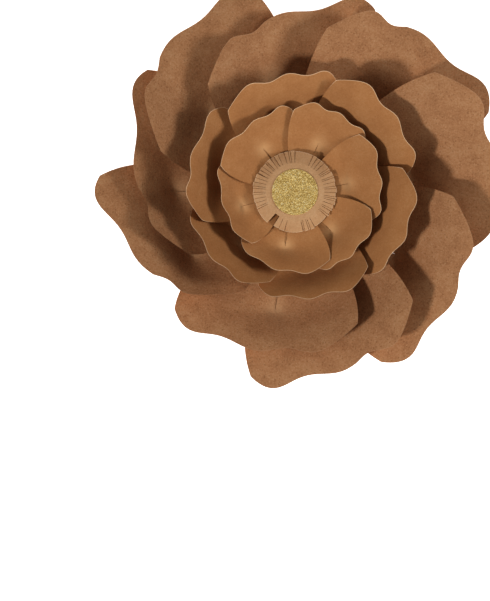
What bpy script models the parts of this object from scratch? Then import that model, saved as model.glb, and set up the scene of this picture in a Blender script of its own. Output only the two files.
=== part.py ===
"""Giant paper flower, 305 mm across, for a wall or a table: the cut and glued pieces.

The flower lies on its back, facing up: +Z points out of its face, and the origin is the
middle of the back disc's flat underside. Clock angles run clockwise from +Y, seen from
above. Each petal is one sheet of card, with a slit at its base whose two flaps are
lapped and glued, so that it cups. Petals overlap like a pinwheel: each one's leading
edge, the anticlockwise one, lies over the petal before it.
"""
import math

import bmesh
import bpy

MM = 0.001

# Driving dimensions, in millimetres and degrees.
CARD = 0.35             # thickness of the petal card
AIR = 0.3               # glue or air between two sheets
BACK_DISC = (55.0, 1.0)             # radius, thickness
MIDDLE_DISC = (27.0, 0.8)
INNER_DISC = (21.0, 0.8)
GOLD_DISC = (17.5, 0.6)
MIDDLE_DISC_HEIGHT = 12.5           # heights of the undersides
INNER_DISC_HEIGHT = 19.8
DISC_SIDES = 48
FRINGE_HEIGHT = 35.0    # top of the fringed disc
FRINGE_FLAT = 22.0      # radius of the uncut part of the fringed disc
FRINGE_RADIUS = 32.0    # radius to the ends of its strips
FRINGE_DROP = 5.0       # how far the strips' ends hang below the uncut part
FRINGE_STRIPS = 60
FRINGE_CUT = 0.35       # width of each cut, at the strips' ends
FRINGE_GAP = 35         # number of the strip that is missing, counted clockwise from +Y

# One ring of petals each. "start" and "dart" are the distances from the flower's axis to
# the petal's inner end and to the slit's tip. "base" is the height of the inner end. "cup"
# is how steeply the card rises around the slit's tip, "sides" how much of that its leading
# and its trailing side take, and "roll" how far it goes before it levels off. "tilt" is how
# much the petal leans down towards its trailing edge, "lobe" how far its leading lobe is
# rolled up, and "stair" how far apart the sheets are stacked around the flower's axis.
# "pit" is the depth and the spread of the hollow that the glued flaps draw in at the tip.
OUTER_RING = {"start": 15.0, "dart": 93.0, "base": 6.2, "cup": 0.46, "sides": (0.8, 0.5),
              "roll": 60.0, "tilt": 0.19, "lobe": 6.5, "stair": 2.7, "reach": 140.0,
              "pit": (2.5, 12.0), "columns": 16, "rows": (4, 5)}
MIDDLE_RING = {"start": 12.0, "dart": 59.0, "base": 17.4, "cup": 0.76, "sides": (0.36, 0.34),
               "roll": 50.0, "tilt": 0.09, "lobe": 2.0, "stair": 1.8, "reach": 86.0,
               "pit": (1.5, 8.0), "columns": 12, "rows": (3, 4)}
INNER_RING = {"start": 10.0, "dart": 43.0, "base": 25.8, "cup": 0.50, "sides": (0.5, 0.5),
              "roll": 40.0, "tilt": 0.065, "lobe": 0.0, "stair": 1.9, "reach": 63.0,
              "pit": (1.5, 6.0), "columns": 12, "rows": (3, 3)}

# Each petal: the clock angle of its axis, its half width on the leading and the trailing
# side, and how far the three crests of its wavy rim reach, leading one first.
OUTER_PETALS = ((315, 50, 90, 134, 150, 147), (350, 51, 87, 123, 137, 143),
                (34, 49, 90, 147, 156, 154), (77, 63, 72, 153, 157, 145),
                (120, 56, 79, 138, 147, 141), (160, 55, 80, 135, 141, 137),
                (189, 62, 78, 118, 124, 117), (240, 45, 88, 111, 130, 136),
                (272, 50, 93, 109, 124, 129))
MIDDLE_PETALS = ((352, 42, 43, 84, 88, 87), (50, 44, 44, 93, 94, 88),
                 (110, 44, 41, 88, 90, 82), (168, 42, 42, 82, 82, 74),
                 (227, 37, 45, 78, 81, 74), (284, 38, 50, 80, 83, 78))
INNER_PETALS = ((325, 35, 34, 60, 62, 60), (26, 28, 31, 67, 68, 65),
                (80, 34, 31, 66, 66, 62), (136, 32, 28, 63, 65, 60),
                (190, 35, 34, 60, 61, 52), (256, 30, 35, 53, 56, 54))

# The rim's outline: where its three crests lie across the petal, from -1 at the leading
# edge to 1 at the trailing edge, how deep the dips between them are, and how its two
# corners are rounded off.
CRESTS = (-0.55, 0.15, 0.85)
DIP = 0.03              # depth of a dip, as a share of the reach
LEAD_CORNER = (0.10, 6)             # drop at the corner as a share of the reach, and power
TRAIL_CORNER = (0.08, 12)
NECK = 0.25             # width of the petal's inner end, as a share of its full width

# The slit and its flaps.
SLIT_LAP = 2.0          # how far each flap passes the petal's axis, at the inner end
SLIT_NOTCH = 0.25       # half width of the slit near its tip
SLIT_NOTCH_RUN = 4.0    # distance from the tip over which the slit opens to that width
SLIT_OPEN = 0.4         # share of the slit, next to its tip, where the flaps don't lap yet
FLAP_SPREAD = 8.0       # how far from the slit a flap is lifted or pressed down
FLAP_UP, FLAP_DOWN = 0.65, 0.4
FLAP_RUN = 7.0          # distance from the tip over which the flaps part to those heights

# The bend of a petal. The distances are shares of "dart", from the flower's axis.
TIP_ROUNDING = 0.05     # radius of the rounded point at the slit's tip
LEAN_NEAR = 0.3         # share of the tilt that is there already next to the axis
LEAN_FROM, LEAN_TO = 0.3, 1.1       # where the rest of the tilt comes in
LOBE_FROM, LOBE_TO = 0.85, 1.3      # where the leading lobe rolls up
LOBE_SIDE_FROM, LOBE_SIDE_TO = 0.08, 0.85       # and where across the leading side

SHARP_ANGLE = 40.0      # edges sharper than this many degrees stay sharp in the shading
ON_AXIS = 1e-4          # a grid point nearer than this to the slit's line is on it

KRAFT_OUTER = (0.38, 0.20, 0.11)
KRAFT_PETAL = (0.42, 0.19, 0.08)
KRAFT_LIGHT = (0.55, 0.33, 0.21)
CARDBOARD = (0.40, 0.27, 0.16)
GOLD = (0.62, 0.45, 0.14)


def clear_scene():
    for old in list(bpy.data.objects):
        bpy.data.objects.remove(old, do_unlink=True)


def finish(name, colour, roughness=0.8, metallic=0.0):
    """A Principled material for the sub-part of this name."""
    material = bpy.data.materials.new(name)
    material.use_nodes = True
    shader = material.node_tree.nodes["Principled BSDF"]
    shader.inputs["Base Color"].default_value = (*colour, 1.0)
    shader.inputs["Roughness"].default_value = roughness
    shader.inputs["Metallic"].default_value = metallic
    return material


def add_part(name, bm, colour, roughness=0.8, metallic=0.0):
    """Turn a bmesh in millimetres into a named, coloured object in metres."""
    bmesh.ops.scale(bm, vec=(MM, MM, MM), verts=bm.verts)
    bmesh.ops.recalc_face_normals(bm, faces=bm.faces)
    mesh = bpy.data.meshes.new(name)
    bm.to_mesh(mesh)
    bm.free()
    mesh.shade_smooth()
    mesh.set_sharp_from_angle(angle=math.radians(SHARP_ANGLE))
    mesh.materials.append(finish(name, colour, roughness, metallic))
    part = bpy.data.objects.new(name, mesh)
    bpy.context.collection.objects.link(part)
    return part


def ease(x, low, high):
    """0 below low, 1 above high, and a smooth step between."""
    x = min(max((x - low) / (high - low), 0.0), 1.0)
    return x * x * (3.0 - 2.0 * x)


def rim(across, lead_reach, mid_reach, trail_reach):
    """Distance from the base line to the rim, at this place across the petal."""
    a, b, c = CRESTS
    curve = (lead_reach * (across - b) * (across - c) / ((a - b) * (a - c))
             + mid_reach * (across - a) * (across - c) / ((b - a) * (b - c))
             + trail_reach * (across - a) * (across - b) / ((c - a) * (c - b)))
    wave = 0.5 * DIP * mid_reach * (1.0 - math.cos(2.0 * math.pi * (across - b) / (c - b)))
    drop, power = LEAD_CORNER if across < 0 else TRAIL_CORNER
    return curve - wave - drop * mid_reach * abs(across) ** power


def height(ring, lead, reach, u, v):
    """Height of the card at u across and v along the petal, both in millimetres."""
    side = u * ring["sides"][0 if u < 0 else 1]
    beyond = v - ring["dart"]
    rise = math.hypot(side, beyond, TIP_ROUNDING * ring["dart"]) + beyond
    cup = ring["cup"] * math.sqrt(ring["reach"] / reach)
    bowl = cup * ring["roll"] * math.tanh(rise / ring["roll"])
    radius = math.hypot(u, v)
    out = radius / ring["dart"]
    lean = LEAN_NEAR + (1.0 - LEAN_NEAR) * ease(out, LEAN_FROM, LEAN_TO)
    stair = ring["stair"] * (1.0 - ease(out, 0.0, 1.0)) / radius
    lobe = ring["lobe"] * ease(-u / lead, LOBE_SIDE_FROM, LOBE_SIDE_TO) * ease(out, LOBE_FROM, LOBE_TO)
    depth, spread = ring["pit"]
    pit = depth * math.exp(-math.hypot(u, beyond) / spread)
    return ring["base"] + bowl + lobe - pit - (ring["tilt"] * lean + stair) * u


def slit_shift(ring, u, v, side):
    """Sideways and upward shift that laps the two flaps of the slit."""
    past_tip = ring["dart"] - v
    if past_tip <= 0 or abs(u) >= FLAP_SPREAD:
        return 0.0, 0.0
    near = 1.0 - abs(u) / FLAP_SPREAD
    length = ring["dart"] - ring["start"]
    lap = -SLIT_NOTCH * min(1.0, past_tip / SLIT_NOTCH_RUN)
    lap += (SLIT_LAP + SLIT_NOTCH) * max(0.0, past_tip / length - SLIT_OPEN) / (1.0 - SLIT_OPEN)
    apart = min(1.0, past_tip / FLAP_RUN)
    if side < 0:
        return lap * near, FLAP_UP * apart * near
    return -lap * near, -FLAP_DOWN * apart * near


def petal(name, ring, spec, colour):
    """One petal: a flat grid, slit along its axis, bent to shape and given its thickness."""
    clock, lead, trail, lead_reach, mid_reach, trail_reach = spec
    inner_rows, outer_rows = ring["rows"]
    rows = inner_rows + outer_rows
    columns = ring["columns"]
    bm = bmesh.new()
    bmesh.ops.create_grid(bm, x_segments=columns, y_segments=rows, size=1.0)
    tip_row = -1.0 + 2.0 * inner_rows / rows
    slit = [edge for edge in bm.edges
            if all(abs(vert.co.x) < ON_AXIS and vert.co.y < tip_row + ON_AXIS for vert in edge.verts)]
    bmesh.ops.split_edges(bm, edges=slit)
    bmesh.ops.triangulate(bm, faces=bm.faces)

    middle = rim(0.0, lead_reach, mid_reach, trail_reach)
    tip_share = (ring["dart"] - ring["start"]) / (middle - ring["start"])
    turn = math.radians(clock)
    sides = {vert: sum(face.calc_center_median().x for face in vert.link_faces) for vert in bm.verts}
    for vert, side in sides.items():
        row = (vert.co.y + 1.0) * 0.5 * rows
        if row < inner_rows:
            along = tip_share * row / inner_rows
        else:
            along = tip_share + (1.0 - tip_share) * (row - inner_rows) / outer_rows
        across = math.sin(vert.co.x * math.pi / 2.0)
        width = (lead if across < 0 else trail) * (NECK + (1.0 - NECK) * math.sin(along * math.pi / 2.0))
        u = across * width
        v = ring["start"] + along * (rim(across, lead_reach, mid_reach, trail_reach) - ring["start"])
        shift, lift = slit_shift(ring, u, v, side)
        z = height(ring, lead, mid_reach, u, v) + lift
        u += shift
        vert.co = (v * math.sin(turn) + u * math.cos(turn), v * math.cos(turn) - u * math.sin(turn), z)
    sheet = bmesh.ops.extrude_face_region(bm, geom=bm.faces[:])
    top = [item for item in sheet["geom"] if isinstance(item, bmesh.types.BMVert)]
    bmesh.ops.translate(bm, vec=(0.0, 0.0, CARD), verts=top)
    return add_part(name, bm, colour)


def disc(name, radius, bottom, thickness, colour, roughness=0.8, metallic=0.0):
    """A plain round sheet whose underside is at this height."""
    bm = bmesh.new()
    bmesh.ops.create_circle(bm, cap_ends=True, segments=DISC_SIDES, radius=radius)
    sheet = bmesh.ops.extrude_face_region(bm, geom=bm.faces[:])
    top = [item for item in sheet["geom"] if isinstance(item, bmesh.types.BMVert)]
    bmesh.ops.translate(bm, vec=(0.0, 0.0, thickness), verts=top)
    bmesh.ops.translate(bm, vec=(0.0, 0.0, bottom), verts=bm.verts)
    return add_part(name, bm, colour, roughness, metallic)


def fringed_disc(name, top):
    """A round sheet whose rim is cut into strips that hang down, at this height."""
    bm = bmesh.new()
    bmesh.ops.create_circle(bm, cap_ends=True, segments=FRINGE_STRIPS, radius=FRINGE_FLAT)
    rim_edges = bm.edges[:]
    length = FRINGE_RADIUS - FRINGE_FLAT
    for edge in rim_edges:
        middle = (edge.verts[0].co + edge.verts[1].co) / 2.0
        clock = math.degrees(math.atan2(middle.x, middle.y)) % 360.0
        if int(clock * FRINGE_STRIPS / 360.0) == FRINGE_GAP:
            continue
        strip = bmesh.ops.extrude_edge_only(bm, edges=[edge])
        ends = [item for item in strip["geom"] if isinstance(item, bmesh.types.BMVert)]
        along = (ends[1].co - ends[0].co).normalized()
        out = middle.normalized()
        grow = (FRINGE_RADIUS / FRINGE_FLAT - 1.0) * (ends[1].co - ends[0].co).length / 2.0
        for vert, sign in zip(ends, (-1.0, 1.0)):
            vert.co += out * length + along * sign * (grow - FRINGE_CUT / 2.0)
            vert.co.z -= FRINGE_DROP
    bmesh.ops.triangulate(bm, faces=bm.faces)
    sheet = bmesh.ops.extrude_face_region(bm, geom=bm.faces[:])
    raised = [item for item in sheet["geom"] if isinstance(item, bmesh.types.BMVert)]
    bmesh.ops.translate(bm, vec=(0.0, 0.0, CARD), verts=raised)
    bmesh.ops.translate(bm, vec=(0.0, 0.0, top - CARD), verts=bm.verts)
    return add_part(name, bm, KRAFT_LIGHT)


clear_scene()
disc("back_disc", BACK_DISC[0], 0.0, BACK_DISC[1], CARDBOARD)
disc("middle_base_disc", MIDDLE_DISC[0], MIDDLE_DISC_HEIGHT, MIDDLE_DISC[1], CARDBOARD)
disc("inner_base_disc", INNER_DISC[0], INNER_DISC_HEIGHT, INNER_DISC[1], CARDBOARD)
for ring, petals, name, colour in (
        (OUTER_RING, OUTER_PETALS, "outer_petal", KRAFT_OUTER),
        (MIDDLE_RING, MIDDLE_PETALS, "middle_petal", KRAFT_PETAL),
        (INNER_RING, INNER_PETALS, "inner_petal", KRAFT_PETAL)):
    for number, spec in enumerate(petals, 1):
        petal(f"{name}_{number}", ring, spec, colour)
fringed_disc("fringed_disc", FRINGE_HEIGHT)
disc("gold_disc", GOLD_DISC[0], FRINGE_HEIGHT + AIR, GOLD_DISC[1], GOLD, 0.35, 0.8)
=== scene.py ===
# %% [markdown]
# # Giant paper flower
#
# A layered flower of kraft card, about 305 mm across, lying on its back. Nine coarse outer
# petals, six smoother middle petals and six inner petals stand in three rings on hidden
# discs of board. A fringed disc of light card and a round of gold glitter card close the
# middle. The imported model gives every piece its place. This script remakes the visible
# pieces with a finer mesh, and gives each of them the finish of real card.

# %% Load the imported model
import math
import random

import bmesh
import bpy
from mathutils import Euler, Matrix, Vector


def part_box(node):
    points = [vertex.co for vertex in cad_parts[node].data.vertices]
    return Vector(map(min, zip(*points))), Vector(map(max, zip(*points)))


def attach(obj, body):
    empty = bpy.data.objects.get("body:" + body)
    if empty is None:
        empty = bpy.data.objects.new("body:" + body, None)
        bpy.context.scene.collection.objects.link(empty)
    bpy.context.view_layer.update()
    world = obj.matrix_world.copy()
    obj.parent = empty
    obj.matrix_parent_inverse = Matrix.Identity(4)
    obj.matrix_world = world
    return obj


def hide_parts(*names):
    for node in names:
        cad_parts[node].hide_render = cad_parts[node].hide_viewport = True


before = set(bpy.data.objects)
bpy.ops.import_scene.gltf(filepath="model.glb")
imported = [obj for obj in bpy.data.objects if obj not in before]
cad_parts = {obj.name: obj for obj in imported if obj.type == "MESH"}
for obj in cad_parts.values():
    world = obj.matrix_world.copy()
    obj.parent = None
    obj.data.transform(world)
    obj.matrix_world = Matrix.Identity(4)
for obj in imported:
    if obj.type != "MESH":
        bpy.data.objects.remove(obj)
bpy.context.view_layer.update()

# %% [markdown]
# ## Camera
#
# The flower is seen from straight above and a little off its middle, so its left and lower
# petals show more of their walls. A long lens at one metre keeps the rings' proportions.
# The lens could be guessed, but it follows from the view's height at the gold disc.

# %% Camera
MM = 0.001
CAMERA_HEIGHT = 1.0
VIEW_HEIGHT = 0.457                 # what the view covers, top to bottom, at the gold disc
VIEW_CENTRE = (-0.038, -0.0825)     # the flower's middle is the origin
SENSOR = 36.0
DISC_LEVEL = 0.036

camera_data = bpy.data.cameras.new("studio_camera")
camera_data.sensor_fit = "VERTICAL"
camera_data.sensor_height = SENSOR
camera_data.lens = SENSOR * (CAMERA_HEIGHT - DISC_LEVEL) / VIEW_HEIGHT
camera = bpy.data.objects.new("studio_camera", camera_data)
camera.location = (*VIEW_CENTRE, CAMERA_HEIGHT)
bpy.context.collection.objects.link(camera)
bpy.context.scene.camera = camera
print("lens", round(camera_data.lens, 1), "mm")

# %% [markdown]
# ## Light and floor
#
# Card this flat needs light from the sides, or the cupped petals look like cut-outs. Two
# lamps stand on opposite sides, as on a copy stand. The left one is stronger and smaller, so
# the wavy rims throw clear shadows up and to the right. The right one is weaker and softer,
# and shades the other side of each ring. The world adds a little light from everywhere.

# %% Light and floor


def lamp(name, clock, elevation, size, power):
    """A square lamp that faces the flower, from a clock angle and an elevation in degrees.
    Its size is in metres and its power in watts."""
    data = bpy.data.lights.new(name, "AREA")
    data.size = size
    data.energy = power
    turn, rise = math.radians(clock), math.radians(elevation)
    towards = Vector((math.sin(turn) * math.cos(rise), math.cos(turn) * math.cos(rise),
                      math.sin(rise)))
    piece = bpy.data.objects.new(name, data)
    piece.location = towards * LAMP_DISTANCE
    piece.rotation_euler = towards.to_track_quat("Z", "Y").to_euler()
    bpy.context.collection.objects.link(piece)


LAMP_DISTANCE = 1.6
WORLD_STRENGTH = 0.2
lamp("left_lamp", 235, 40, 0.16, 12.0)
lamp("right_lamp", 93, 32, 0.35, 10.0)

world = bpy.data.worlds.new("studio")
world.use_nodes = True
world.node_tree.nodes["Background"].inputs["Color"].default_value = (1.0, 1.0, 1.0, 1.0)
world.node_tree.nodes["Background"].inputs["Strength"].default_value = WORLD_STRENGTH
bpy.context.scene.world = world
bpy.context.scene.view_settings.view_transform = "Standard"
bpy.context.scene.view_settings.look = "Medium High Contrast"

FLOOR_HALF = 15.0
bm = bmesh.new()
bmesh.ops.create_grid(bm, x_segments=1, y_segments=1, size=FLOOR_HALF)
floor_mesh = bpy.data.meshes.new("floor")
bm.to_mesh(floor_mesh)
bm.free()
floor = bpy.data.objects.new("floor", floor_mesh)
floor_white = bpy.data.materials.new("floor_white")
floor_white.use_nodes = True
floor_shader = floor_white.node_tree.nodes["Principled BSDF"]
floor_shader.inputs["Base Color"].default_value = (0.9, 0.9, 0.9, 1.0)
floor_shader.inputs["Roughness"].default_value = 0.9
floor_shader.inputs["Emission Color"].default_value = (1.0, 1.0, 1.0, 1.0)
floor_shader.inputs["Emission Strength"].default_value = 0.9
floor_mesh.materials.append(floor_white)
bpy.context.collection.objects.link(floor)
print("two lamps, a world and a floor of", 2 * FLOOR_HALF, "m")

# %% [markdown]
# ## Card as a node group
#
# Kraft card is never one colour. It has soft clouds where the pulp lay thicker, short
# fibres that cross in all directions, dark specks of bark and pale specks of bleached
# fibre. One group holds all of this, and each card places it with its own amounts. The
# patterns are on Object coordinates, in metres, so a scale of 100 makes features of about
# 10 mm. The group gives out a colour and a height: the shader stays in the material.

# %% Card group


def add(tree, kind, **inputs):
    """A new node of this kind, with plain input values set by name."""
    new = tree.nodes.new(kind)
    for name, value in inputs.items():
        new.inputs[name.replace("_", " ")].default_value = value
    return new


def maths(tree, operation, a, b=0.0, clamp=False):
    """A Math node on two sockets or numbers; gives its output socket."""
    new = tree.nodes.new("ShaderNodeMath")
    new.operation = operation
    new.use_clamp = clamp
    for socket, value in zip(new.inputs, (a, b)):
        if isinstance(value, bpy.types.NodeSocket):
            tree.links.new(value, socket)
        else:
            socket.default_value = value
    return new.outputs[0]


def remap(tree, value, low, high, out_low, out_high):
    """A smooth Map Range; gives its output socket."""
    new = tree.nodes.new("ShaderNodeMapRange")
    new.interpolation_type = "SMOOTHSTEP"
    tree.links.new(value, new.inputs["Value"])
    for name, number in (("From Min", low), ("From Max", high),
                         ("To Min", out_low), ("To Max", out_high)):
        if isinstance(number, bpy.types.NodeSocket):
            tree.links.new(number, new.inputs[name])
        else:
            new.inputs[name].default_value = number
    return new.outputs["Result"]


def blend(tree, factor, a, b, kind="MIX"):
    """A Mix node on colours; gives its output socket."""
    new = tree.nodes.new("ShaderNodeMix")
    new.data_type = "RGBA"
    new.blend_type = kind
    for index, value in ((0, factor), (6, a), (7, b)):
        if isinstance(value, bpy.types.NodeSocket):
            tree.links.new(value, new.inputs[index])
        else:
            new.inputs[index].default_value = value
    return new.outputs[2]


STRAND_TURNS = (0.4, 1.5, 2.6)          # three directions that the fibres run in, in radians
STRAND_STRETCH = (1.0, 6.0, 1.0)        # a fibre is six times as long as it is wide
SPECK_SHARE = 0.30                      # how many cells hold a speck


def card_group():
    """The node group: clouds, grain, crossing fibres and two kinds of speck."""
    group = bpy.data.node_groups.new("kraft_card", "ShaderNodeTree")
    for name, kind, default in (("Base", "NodeSocketColor", (0.45, 0.24, 0.12, 1.0)),
                                ("Dark", "NodeSocketColor", (0.2, 0.09, 0.04, 1.0)),
                                ("Pale", "NodeSocketColor", (0.7, 0.5, 0.33, 1.0)),
                                ("Clouds", "NodeSocketFloat", 0.3),
                                ("Fibres", "NodeSocketFloat", 0.3),
                                ("Specks", "NodeSocketFloat", 0.5)):
        socket = group.interface.new_socket(name, in_out="INPUT", socket_type=kind)
        socket.default_value = default
    group.interface.new_socket("Colour", in_out="OUTPUT", socket_type="NodeSocketColor")
    group.interface.new_socket("Height", in_out="OUTPUT", socket_type="NodeSocketFloat")
    given = group.nodes.new("NodeGroupInput").outputs
    result = group.nodes.new("NodeGroupOutput").inputs
    place = group.nodes.new("ShaderNodeTexCoord").outputs["Object"]

    def noise_at(scale, detail, roughness, stretch=None, turn=0.0):
        """A noise on Object coordinates, stretched along one direction if asked."""
        where = place
        if stretch:
            mapping = group.nodes.new("ShaderNodeMapping")
            mapping.inputs["Scale"].default_value = stretch
            mapping.inputs["Rotation"].default_value = (0.0, 0.0, turn)
            group.links.new(place, mapping.inputs["Vector"])
            where = mapping.outputs["Vector"]
        new = add(group, "ShaderNodeTexNoise", Scale=scale, Detail=detail, Roughness=roughness)
        group.links.new(where, new.inputs["Vector"])
        return new.outputs["Factor" if "Factor" in new.outputs else "Fac"]

    clouds = remap(group, noise_at(70.0, 4.0, 0.6), 0.3, 0.7, -1.0, 1.0)
    grain = remap(group, noise_at(650.0, 3.0, 0.75), 0.3, 0.7, -1.0, 1.0)
    weave = None
    for turn in STRAND_TURNS:
        strand = remap(group, noise_at(420.0, 2.0, 0.6, STRAND_STRETCH, turn), 0.58, 0.72, 0.0, 1.0)
        weave = strand if weave is None else maths(group, "MAXIMUM", weave, strand)

    def specks(scale, size):
        """Round spots in a chosen share of Voronoi cells."""
        cells = add(group, "ShaderNodeTexVoronoi", Scale=scale, Randomness=1.0)
        group.links.new(place, cells.inputs["Vector"])
        spot = remap(group, cells.outputs["Distance"], size * 0.5, size, 1.0, 0.0)
        pick = group.nodes.new("ShaderNodeSeparateColor")
        group.links.new(cells.outputs["Color"], pick.inputs["Color"])
        chosen = maths(group, "LESS_THAN", pick.outputs["Red"], SPECK_SHARE)
        return maths(group, "MULTIPLY", spot, chosen)

    tone = maths(group, "MULTIPLY", clouds, given["Clouds"])
    tone = maths(group, "ADD", tone, maths(group, "MULTIPLY", grain, given["Fibres"]))
    down = maths(group, "MULTIPLY", tone, -1.0, clamp=True)
    up = maths(group, "MULTIPLY", tone, 1.0, clamp=True)
    colour = blend(group, down, given["Base"], given["Dark"])
    colour = blend(group, up, colour, given["Pale"])
    strands = maths(group, "MULTIPLY", weave, maths(group, "MULTIPLY", given["Fibres"], 0.6))
    colour = blend(group, strands, colour, given["Pale"])
    dark_specks = maths(group, "MULTIPLY", specks(520.0, 0.42), given["Specks"])
    pale_specks = maths(group, "MULTIPLY", specks(610.0, 0.40), given["Specks"])
    colour = blend(group, dark_specks, colour, given["Dark"])
    colour = blend(group, maths(group, "MULTIPLY", pale_specks, 0.7), colour, given["Pale"])
    group.links.new(colour, result["Colour"])
    height = maths(group, "MULTIPLY", maths(group, "ADD", weave, grain), 0.5)
    group.links.new(height, result["Height"])
    return group


kraft_card = card_group()
print("group", kraft_card.name, "with", len(kraft_card.nodes), "nodes")

# %% [markdown]
# ## The cards
#
# Four cards come from the one group: coarse brown card for the outer petals, a smoother
# and more orange one for the middle and inner petals, a light tan one for the fringed disc,
# and grey-brown board for the discs behind. Scissors leave a pale cut edge. It is drawn from
# an attribute that every petal carries: how many millimetres each point is from the rim.

# %% Cards
CARD_ROUGHNESS = (0.9, 0.7)             # between fibres, and on them
CARD_SPECULAR = 0.25


def card(name, base, dark, pale, clouds, fibres, specks, edge=None, edge_width=0.6,
         tip_highlight=0.0, bump=0.1):
    """A card finish. edge is the colour of its cut edge, painted where the rim is near. The
    keyword after edge_width sets how strong a painted highlight at the slit's tip is. bump is
    a height in millimetres."""
    finish = bpy.data.materials.new(name)
    finish.use_nodes = True
    tree = finish.node_tree
    shader = tree.nodes["Principled BSDF"]
    fibre = tree.nodes.new("ShaderNodeGroup")
    fibre.node_tree = kraft_card
    for socket, value in (("Base", (*base, 1.0)), ("Dark", (*dark, 1.0)), ("Pale", (*pale, 1.0)),
                          ("Clouds", clouds), ("Fibres", fibres), ("Specks", specks)):
        fibre.inputs[socket].default_value = value
    colour = fibre.outputs["Colour"]
    if edge:
        rim_distance = tree.nodes.new("ShaderNodeAttribute")
        rim_distance.attribute_name = "rim"
        near = remap(tree, rim_distance.outputs["Fac"], 0.4 * edge_width, edge_width, 1.0, 0.0)
        colour = blend(tree, near, colour, (*edge, 1.0))
    # Painted highlight: round the slit's tip the card is mixed towards its pale colour, as where
    # the folded card catches the lamps.
    if tip_highlight:
        tip = tree.nodes.new("ShaderNodeAttribute")
        tip.attribute_name = "tip_highlight"
        lit_tip = maths(tree, "MULTIPLY", tip.outputs["Fac"], tip_highlight)
        colour = blend(tree, lit_tip, colour, (*pale, 1.0))
    tree.links.new(colour, shader.inputs["Base Color"])
    tree.links.new(remap(tree, fibre.outputs["Height"], -0.5, 1.0, *CARD_ROUGHNESS),
                   shader.inputs["Roughness"])
    shader.inputs["Specular IOR Level"].default_value = CARD_SPECULAR
    relief = add(tree, "ShaderNodeBump", Strength=0.6, Distance=bump * MM)
    tree.links.new(fibre.outputs["Height"], relief.inputs["Height"])
    tree.links.new(relief.outputs["Normal"], shader.inputs["Normal"])
    return finish


coarse_kraft = card("coarse_kraft", (0.435, 0.216, 0.101), (0.165, 0.063, 0.022),
                    (0.63, 0.40, 0.22), clouds=0.16, fibres=0.20, specks=0.34,
                    edge=(0.50, 0.28, 0.15), edge_width=0.4, tip_highlight=0.45, bump=0.14)
smooth_kraft = card("smooth_kraft", (0.46, 0.215, 0.083), (0.27, 0.105, 0.035),
                    (0.66, 0.38, 0.18), clouds=0.12, fibres=0.10, specks=0.15,
                    edge=(0.80, 0.55, 0.34), edge_width=0.55, tip_highlight=0.9, bump=0.08)
light_tan_card = card("light_tan_card", (0.585, 0.345, 0.178), (0.34, 0.17, 0.075),
                      (0.78, 0.56, 0.35), clouds=0.12, fibres=0.12, specks=0.15,
                      edge=(0.82, 0.62, 0.42), edge_width=0.35, bump=0.08)
grey_board = card("grey_board", (0.33, 0.25, 0.18), (0.18, 0.13, 0.09), (0.5, 0.41, 0.31),
                  clouds=0.3, fibres=0.4, specks=0.7, bump=0.2)
print([finish.name for finish in (coarse_kraft, smooth_kraft, light_tan_card, grey_board)])

# %% [markdown]
# ## Petals
#
# A petal starts as a flat cut sheet with a slit up its middle. The maker laps the two flaps
# beside the slit and glues them, and the sheet has to cup round the slit's tip. Cloth
# simulation could fold the sheet, but card bends only one way at a time and hardly
# stretches, so a height formula gives a cleaner result. The card rises from the tip like
# a folded cone, and levels off towards the rim. Each petal also leans down towards its
# clockwise side, which slides under the next petal. Nearly the same numbers made the
# imported model, on a coarser grid.
#
# The petals of one ring differ in angle, in width, and in how far the three crests of the
# wavy rim reach. One row of six numbers holds all of that.

# %% Petal sizes
CARD = 0.35                     # thickness, in millimetres as everything below

# One ring of petals each. start and dart are the distances from the axis to a petal's inner
# end and to its slit's tip. base is the inner end's height, cup the slope round the tip,
# sides the share of it on the leading and trailing side, roll how far the card rises before
# it levels off, tilt the lean to the trailing side, lobe the lift of the leading corner,
# stair the stacking round the axis, and pit the depth and spread of the hollow at the tip.
OUTER_RING = {"start": 15.0, "dart": 93.0, "base": 6.2, "cup": 0.46, "sides": (0.8, 0.5),
              "roll": 60.0, "tilt": 0.19, "lobe": 6.5, "stair": 2.7, "reach": 140.0,
              "pit": (2.5, 12.0)}
MIDDLE_RING = {"start": 12.0, "dart": 59.0, "base": 17.4, "cup": 0.76, "sides": (0.36, 0.34),
               "roll": 50.0, "tilt": 0.09, "lobe": 2.0, "stair": 1.8, "reach": 86.0,
               "pit": (1.5, 8.0)}
INNER_RING = {"start": 10.0, "dart": 43.0, "base": 25.8, "cup": 0.50, "sides": (0.5, 0.5),
              "roll": 40.0, "tilt": 0.065, "lobe": 0.0, "stair": 1.9, "reach": 63.0,
              "pit": (1.5, 6.0)}

# A row is a petal: the clock angle of its axis, its half width on the leading and on the
# trailing side, and the reach of its three crests, leading one first.
OUTER_PETALS = ((315, 50, 90, 134, 150, 147), (350, 51, 87, 123, 137, 143),
                (34, 49, 90, 147, 156, 154), (77, 63, 72, 153, 157, 145),
                (120, 56, 79, 138, 147, 141), (160, 55, 80, 135, 141, 137),
                (189, 62, 78, 118, 124, 117), (240, 45, 88, 111, 130, 136),
                (272, 50, 93, 109, 124, 129))
MIDDLE_PETALS = ((352, 42, 43, 84, 88, 87), (50, 44, 44, 93, 94, 88),
                 (110, 44, 41, 88, 90, 82), (168, 42, 42, 82, 82, 74),
                 (227, 37, 45, 78, 81, 74), (284, 38, 50, 80, 83, 78))
INNER_PETALS = ((325, 35, 34, 60, 62, 60), (26, 28, 31, 67, 68, 65),
                (80, 34, 31, 66, 66, 62), (136, 32, 28, 63, 65, 60),
                (190, 35, 34, 60, 61, 52), (256, 30, 35, 53, 56, 54))
print([len(petals) for petals in (OUTER_PETALS, MIDDLE_PETALS, INNER_PETALS)], "petals")

# %% [markdown]
# ## The rim and the cup
#
# Two formulas shape a petal. The first gives the outline: a curve through the three crests,
# with two dips and two rounded corners. The second gives the height at any place. Near the
# tip its height is a rounded cone, made from the distance to the tip, and tanh makes it
# level off further out.

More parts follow.
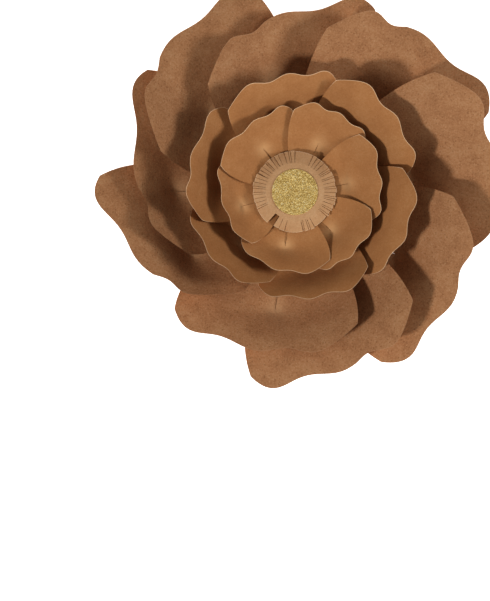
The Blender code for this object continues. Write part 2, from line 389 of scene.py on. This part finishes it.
# %% Rim and cup
CRESTS = (-0.55, 0.15, 0.85)    # where the crests lie: -1 is the leading edge, 1 the trailing
DIP = 0.036                     # depth of the dips, as a share of the reach
LEAD_CORNER = (0.10, 6)         # drop as a share of the reach, and power
TRAIL_CORNER = (0.08, 12)
NECK = 0.25                     # width of the inner end, as a share of the full width
TIP_ROUNDING = 0.03             # of the cone, as a share of the distance to the tip
LEAN_NEAR = 0.3                 # share of the lean near the axis
LEAN_FROM, LEAN_TO = 0.3, 1.1   # where it grows to the whole, in distances to the tip
LOBE_SIDE_FROM, LOBE_SIDE_TO = 0.08, 0.85       # across the leading side
LOBE_FROM, LOBE_TO = 0.85, 1.3                  # outwards, in distances to the tip


def ease(x, low, high):
    """A smooth step from 0 at low to 1 at high."""
    x = min(max((x - low) / (high - low), 0.0), 1.0)
    return x * x * (3.0 - 2.0 * x)


def rim(across, lead_reach, mid_reach, trail_reach):
    """How far the outline reaches from the flower's axis, at this place across the petal."""
    a, b, c = CRESTS
    curve = (lead_reach * (across - b) * (across - c) / ((a - b) * (a - c))
             + mid_reach * (across - a) * (across - c) / ((b - a) * (b - c))
             + trail_reach * (across - a) * (across - b) / ((c - a) * (c - b)))
    wave = 0.5 * DIP * mid_reach * (1.0 - math.cos(2.0 * math.pi * (across - b) / (c - b)))
    drop, power = LEAD_CORNER if across < 0 else TRAIL_CORNER
    return curve - wave - drop * mid_reach * abs(across) ** power


def height(ring, lead, reach, u, v):
    """Height of the card at u across and v along the petal."""
    side = u * ring["sides"][0 if u < 0 else 1]
    beyond = v - ring["dart"]
    rise = Vector((side, beyond, TIP_ROUNDING * ring["dart"])).length + beyond
    cup = ring["cup"] * math.sqrt(ring["reach"] / reach)
    bowl = cup * ring["roll"] * math.tanh(rise / ring["roll"])
    radius = math.hypot(u, v)
    out = radius / ring["dart"]
    lean = LEAN_NEAR + (1.0 - LEAN_NEAR) * ease(out, LEAN_FROM, LEAN_TO)
    stair = ring["stair"] * (1.0 - ease(out, 0.0, 1.0)) / radius
    lobe = (ring["lobe"] * ease(-u / lead, LOBE_SIDE_FROM, LOBE_SIDE_TO)
            * ease(out, LOBE_FROM, LOBE_TO))
    depth, spread = ring["pit"]
    pit = depth * math.exp(-math.hypot(u, beyond) / spread)
    return ring["base"] + bowl + lobe - pit - (ring["tilt"] * lean + stair) * u


print("outer crest", [round(rim(a, *OUTER_PETALS[0][3:]), 1) for a in CRESTS], "mm out")

# %% [markdown]
# ## The slit
#
# Below its tip the slit's two edges cross: the leading flap lies on top, the trailing one
# underneath. A small shift does that to the points near the petal's axis. It pulls them past
# the axis, and lifts one side and lowers the other, fading out eight millimetres away.

# %% Slit
SLIT_LAP = 2.0                  # how far each flap passes the axis, at the inner end
SLIT_NOTCH = 0.12               # half width of the slit near its tip
SLIT_NOTCH_RUN = 3.0            # how far from the tip it is that wide
SLIT_OPEN = 0.25                # the share of the slit, from its tip, that is not yet lapped
FLAP_SPREAD = 8.0               # how far from the slit the card still moves
FLAP_RUN = 6.0                  # how far from the tip the flaps are fully apart
FLAP_UP, FLAP_DOWN = 0.55, 0.35


def slit_shift(ring, u, v, side):
    """Sideways and upward shift that laps the two flaps of the slit."""
    past_tip = ring["dart"] - v
    if past_tip <= 0 or abs(u) >= FLAP_SPREAD:
        return 0.0, 0.0
    near = 1.0 - abs(u) / FLAP_SPREAD
    length = ring["dart"] - ring["start"]
    lap = -SLIT_NOTCH * min(1.0, past_tip / SLIT_NOTCH_RUN)
    lap += (SLIT_LAP + SLIT_NOTCH) * max(0.0, past_tip / length - SLIT_OPEN) / (1.0 - SLIT_OPEN)
    apart = min(1.0, past_tip / FLAP_RUN)
    if side < 0:
        return lap * near, FLAP_UP * apart * near
    return -lap * near, -FLAP_DOWN * apart * near


print("flaps cross by", 2 * SLIT_LAP, "mm at the inner end")

# %% [markdown]
# ## From a grid to a sheet
#
# Every petal is one grid. Its rows run across the petal and its columns along it. The
# middle column's edges below the tip are split, which cuts the slit. Then each point moves
# to its place. Two attributes go along: `rim`, for the pale cut edge, and one for a painted
# highlight round the slit's tip, where the folded card sticks up and catches the lamps. An
# extrude of the whole sheet gives the card its thickness. Solidify could do that too, but
# straight up keeps the gaps even.

# %% Sheets
HIGHLIGHT_BEFORE = 2.0               # the painted highlight's middle lies this far inside the tip
HIGHLIGHT_SPREAD = 2.4
SHARP_ANGLE = 50                # degrees: cut edges stay sharp, folds stay smooth
ON_AXIS = 1e-4                  # how near a grid point counts as on the slit
SIDE_RIM = 0.05                 # near the petal's side the pale edge fades with this slope


def sheet_object(bm, name, finish):
    """Turn a bmesh in millimetres into an object in metres, smooth but for its cut edges."""
    bmesh.ops.scale(bm, vec=(MM, MM, MM), verts=bm.verts)
    bmesh.ops.recalc_face_normals(bm, faces=bm.faces)
    mesh = bpy.data.meshes.new(name)
    bm.to_mesh(mesh)
    bm.free()
    mesh.shade_smooth()
    mesh.set_sharp_from_angle(angle=math.radians(SHARP_ANGLE))
    mesh.materials.append(finish)
    piece = bpy.data.objects.new(name, mesh)
    bpy.context.collection.objects.link(piece)
    return piece


def petal(name, ring, spec, finish, columns, rows):
    """One petal as a sheet of card, from its row of numbers."""
    clock, lead, trail, lead_reach, mid_reach, trail_reach = spec
    inner_rows, outer_rows = rows
    total = inner_rows + outer_rows
    bm = bmesh.new()
    bmesh.ops.create_grid(bm, x_segments=columns, y_segments=total, size=1.0)
    rim_layer = bm.verts.layers.float.new("rim")
    highlight_layer = bm.verts.layers.float.new("tip_highlight")
    tip_row = -1.0 + 2.0 * inner_rows / total
    slit = [edge for edge in bm.edges
            if all(abs(vert.co.x) < ON_AXIS and vert.co.y < tip_row + ON_AXIS
                   for vert in edge.verts)]
    bmesh.ops.split_edges(bm, edges=slit)
    middle = rim(0.0, lead_reach, mid_reach, trail_reach)
    tip_share = (ring["dart"] - ring["start"]) / (middle - ring["start"])
    turn = math.radians(clock)
    sides = {vert: sum(face.calc_center_median().x for face in vert.link_faces)
             for vert in bm.verts}
    for vert, side in sides.items():
        row = (vert.co.y + 1.0) * 0.5 * total
        if row < inner_rows:
            along = tip_share * row / inner_rows
        else:
            along = tip_share + (1.0 - tip_share) * (row - inner_rows) / outer_rows
        across = math.sin(vert.co.x * math.pi / 2.0)
        width = lead if across < 0 else trail
        width *= NECK + (1.0 - NECK) * math.sin(along * math.pi / 2.0)
        length = rim(across, lead_reach, mid_reach, trail_reach) - ring["start"]
        u = across * width
        v = ring["start"] + along * length
        from_rim = (1.0 - along) * length
        vert[rim_layer] = min(from_rim, (1.0 - abs(across)) * width + SIDE_RIM * from_rim)
        # The painted highlight: one at the slit's tip, fading with the distance from it.
        from_tip = math.hypot(u, v - ring["dart"] + HIGHLIGHT_BEFORE)
        vert[highlight_layer] = math.exp(-(from_tip / (HIGHLIGHT_SPREAD * math.sqrt(ring["pit"][1]))) ** 2)
        shift, lift = slit_shift(ring, u, v, side)
        z = height(ring, lead, mid_reach, u, v) + lift
        u += shift
        vert.co = (v * math.sin(turn) + u * math.cos(turn),
                   v * math.cos(turn) - u * math.sin(turn), z)
    sheet = bmesh.ops.extrude_face_region(bm, geom=bm.faces[:])
    top = [item for item in sheet["geom"] if isinstance(item, bmesh.types.BMVert)]
    bmesh.ops.translate(bm, vec=(0.0, 0.0, CARD), verts=top)
    piece = sheet_object(bm, name + "_sheet", finish)
    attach(piece, "root")
    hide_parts(name)
    return piece


for ring, petals, name, finish, slot, columns, rows in (
        (OUTER_RING, OUTER_PETALS, "outer_petal", coarse_kraft, "outer_card", 56, (20, 30)),
        (MIDDLE_RING, MIDDLE_PETALS, "middle_petal", smooth_kraft, "petal_card", 48, (16, 24)),
        (INNER_RING, INNER_PETALS, "inner_petal", smooth_kraft, "petal_card", 48, (20, 20))):
    for number, spec in enumerate(petals, 1):
        piece = petal(f"{name}_{number}", ring, spec, finish, columns, rows)
    print(len(petals), name, "sheets,", len(piece.data.polygons), "faces each")

# %% [markdown]
# ## The fringed disc
#
# The disc under the glitter round is cut into strips with scissors, by eye: most are two to
# three millimetres wide, a few stretches were left as wide tabs, and one strip is gone.
# Every strip bends down a little differently. A circle of short edges is the start. A run of
# edges extruded on its own becomes a strip, because runs extruded apart share no points.

# %% Fringed disc
FRINGE_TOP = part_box("fringed_disc")[1][2] / MM
FRINGE_FLAT = 21.8              # radius of the flat middle
CIRCLE_EDGES = 120
STRIP_STEPS = ((1.2, 20.0), (2.6, 25.0), (2.8, 27.0), (2.8, 28.0), (2.0, 28.0))    # mm, degrees
WIDE_TABS = ((4, 24), (168, 192), (225, 243), (128, 146))       # clock angles, uncut between
MISSING = (213, 221)
CUT_HALF = 0.12                 # half width of a cut
STRIP_SIDE = 0.9                # share of a strip's half width past which a point is on its side
STRIP_WIDTHS = (1, 2, 2, 2, 2, 3)               # edges in a strip, one picked by chance
STEEPNESS, STEEPER_BELOW = (0.84, 1.12), 0.30
STRETCH, SHORTER_BELOW = (0.94, 1.04), 0.10
TWIST = 0.066
FRINGE_SEED = 7


def fringe_runs(chance):
    """Runs of edges that become one strip each, as lists of edge numbers round the clock."""
    runs, run, target = [], [], 2
    step = 360.0 / CIRCLE_EDGES
    for number in range(CIRCLE_EDGES):
        clock = (number + 0.5) * step
        if MISSING[0] < clock < MISSING[1]:
            if run:
                runs.append(run)
            run = []
            continue
        run.append(number)
        in_tab = any(low < clock < high for low, high in WIDE_TABS)
        if not in_tab and len(run) >= target:
            runs.append(run)
            run, target = [], chance.choice(STRIP_WIDTHS)
    if run:
        runs.append(run)
    return runs


def fringed_disc():
    """The disc with its strips: each run of rim edges is extruded in steps that bend down."""
    chance = random.Random(FRINGE_SEED)
    bm = bmesh.new()
    bmesh.ops.create_circle(bm, cap_ends=True, segments=CIRCLE_EDGES, radius=FRINGE_FLAT)
    rim_layer = bm.verts.layers.float.new("rim")
    strip_length = sum(length for length, angle in STRIP_STEPS)
    for vert in bm.verts:
        vert[rim_layer] = strip_length

    def clock_of(edge):
        middle = (edge.verts[0].co + edge.verts[1].co) / 2.0
        return math.degrees(math.atan2(middle.x, middle.y)) % 360.0

    ordered = sorted(bm.edges[:], key=clock_of)
    for run in fringe_runs(chance):
        edges = [ordered[number] for number in run]
        middle = sum((edge.verts[0].co + edge.verts[1].co for edge in edges), Vector())
        middle.normalize()
        across = Vector((middle.y, -middle.x, 0.0))
        below = max(0.0, -middle.y)
        steep = chance.uniform(*STEEPNESS) + STEEPER_BELOW * below
        stretch = chance.uniform(*STRETCH) - SHORTER_BELOW * below
        twist = chance.uniform(-TWIST, TWIST)
        left = strip_length
        for number, (length, angle) in enumerate(STRIP_STEPS):
            left -= length
            strip = bmesh.ops.extrude_edge_only(bm, edges=edges)
            ends = [item for item in strip["geom"] if isinstance(item, bmesh.types.BMVert)]
            edges = [item for item in strip["geom"] if isinstance(item, bmesh.types.BMEdge)
                     and all(vert in ends for vert in item.verts)]
            bend = math.radians(angle * steep)
            for vert in ends:
                out = Vector((vert.co.x, vert.co.y, 0.0)).normalized()
                aside = vert.co.dot(across)
                vert.co += out * length * stretch * math.cos(bend)
                vert.co.z -= length * stretch * math.sin(bend) + twist * aside
                vert[rim_layer] = left
            if number == 0:
                reach = max(abs(vert.co.dot(across)) for vert in ends)
                for vert in ends:
                    if abs(vert.co.dot(across)) > STRIP_SIDE * reach:
                        vert.co -= across * math.copysign(CUT_HALF, vert.co.dot(across))
    sheet = bmesh.ops.extrude_face_region(bm, geom=bm.faces[:])
    top = [item for item in sheet["geom"] if isinstance(item, bmesh.types.BMVert)]
    bmesh.ops.translate(bm, vec=(0.0, 0.0, CARD), verts=top)
    bmesh.ops.translate(bm, vec=(0.0, 0.0, FRINGE_TOP - CARD), verts=bm.verts)
    return sheet_object(bm, "fringed_sheet", light_tan_card)


fringe = fringed_disc()
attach(fringe, "root")
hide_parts("fringed_disc")
print(fringe.name, len(fringe.data.polygons), "faces")

# %% [markdown]
# ## Gold glitter card
#
# Glitter card is card with resin and thousands of thin metal flakes that lie at all angles.
# A smooth gold disc would look like foil. Here the disc is one piece with small square
# flakes scattered over it, each tipped a few degrees, so that some catch a lamp and others
# stay dark. The colour also changes from cell to cell, from dark to bright gold with a few
# near-white cells: painted glints and painted shade of single flakes. Soft darker clouds of
# gold lie over that.

# %% Glitter finish
glitter_gold = bpy.data.materials.new("glitter_gold")
glitter_gold.use_nodes = True
tree = glitter_gold.node_tree
shader = tree.nodes["Principled BSDF"]
place = tree.nodes.new("ShaderNodeTexCoord").outputs["Object"]
cells = add(tree, "ShaderNodeTexVoronoi", Scale=1700.0, Randomness=1.0)
tree.links.new(place, cells.inputs["Vector"])
split = tree.nodes.new("ShaderNodeSeparateColor")
tree.links.new(cells.outputs["Color"], split.inputs["Color"])
drift = add(tree, "ShaderNodeTexNoise", Scale=160.0, Detail=3.0, Roughness=0.6)
tree.links.new(place, drift.inputs["Vector"])
# Painted glints and shade: each cell goes from dark to bright gold, and some cells near white, like
# flakes that face a lamp or turn from it.
gold = blend(tree, remap(tree, split.outputs["Red"], 0.15, 0.95, 0.0, 1.0),
             (0.55, 0.35, 0.09, 1.0), (1.0, 0.76, 0.31, 1.0))
gold = blend(tree, remap(tree, split.outputs["Green"], 0.86, 0.97, 0.0, 0.8),
             gold, (0.98, 0.85, 0.52, 1.0))
gold = blend(tree, remap(tree, drift.outputs[0], 0.35, 0.7, 0.0, 0.25),
             gold, (0.40, 0.25, 0.07, 1.0))
tree.links.new(gold, shader.inputs["Base Color"])
tree.links.new(remap(tree, split.outputs["Blue"], 0.0, 1.0, 0.35, 0.6), shader.inputs["Roughness"])
shader.inputs["Metallic"].default_value = 0.35
relief = add(tree, "ShaderNodeBump", Strength=0.8, Distance=0.15 * MM)
tree.links.new(split.outputs["Red"], relief.inputs["Height"])
tree.links.new(relief.outputs["Normal"], shader.inputs["Normal"])
print("finish", glitter_gold.name)

# %% [markdown]
# ## The glitter round
#
# The round is a circle with a thickness, and each flake is a grid of one face, placed by a
# matrix. The square root of a random number spreads the flakes evenly, because a disc has
# more room near its rim. Particles could scatter them, but a few lines of code are enough.

# %% Glitter disc
GOLD_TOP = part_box("gold_disc")[1][2] / MM
GOLD_RADIUS, GOLD_THICK = 17.5, 0.45
FLAKES, FLAKE_HALF = 2600, 0.24
FLAKE_SIZES = (0.6, 1.1)        # as shares of the half width
FLAKE_TIP = 0.16                # how far flakes tip, in radians
FLAKE_LIFT = 0.05               # their middles stand this far above the card
FLAKE_MARGIN = 0.4              # they stay this far inside the rim
SINK = 0.15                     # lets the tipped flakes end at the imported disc's top
GLITTER_SEED = 11


def glitter_disc():
    """The gold round, with its flakes in the same mesh."""
    chance = random.Random(GLITTER_SEED)
    bm = bmesh.new()
    bmesh.ops.create_circle(bm, cap_ends=True, segments=96, radius=GOLD_RADIUS)
    sheet = bmesh.ops.extrude_face_region(bm, geom=bm.faces[:])
    top = [item for item in sheet["geom"] if isinstance(item, bmesh.types.BMVert)]
    bmesh.ops.translate(bm, vec=(0.0, 0.0, GOLD_THICK), verts=top)
    for number in range(FLAKES):
        radius = (GOLD_RADIUS - FLAKE_MARGIN) * math.sqrt(chance.random())
        turn = chance.uniform(0.0, 2.0 * math.pi)
        tip = Euler((chance.gauss(0.0, FLAKE_TIP), chance.gauss(0.0, FLAKE_TIP),
                     chance.uniform(0.0, math.pi)))
        where = Vector((radius * math.cos(turn), radius * math.sin(turn), GOLD_THICK + FLAKE_LIFT))
        size = FLAKE_HALF * chance.uniform(*FLAKE_SIZES)
        bmesh.ops.create_grid(bm, x_segments=1, y_segments=1, size=size,
                              matrix=Matrix.Translation(where) @ tip.to_matrix().to_4x4())
    bmesh.ops.translate(bm, vec=(0.0, 0.0, GOLD_TOP - GOLD_THICK - SINK), verts=bm.verts)
    return sheet_object(bm, "glitter_sheet", glitter_gold)


glitter = glitter_disc()
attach(glitter, "root")
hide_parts("gold_disc")
print(glitter.name, len(glitter.data.polygons), "faces")

# %% [markdown]
# ## The hidden discs
#
# Three discs of board hold the rings. The petals cover them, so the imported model's own
# solids are good enough, and only their finish changes.

# %% Hidden discs
for node in ("back_disc", "middle_base_disc", "inner_base_disc"):
    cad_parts[node].material_slots[0].material = grey_board
print("three discs in", grey_board.name)
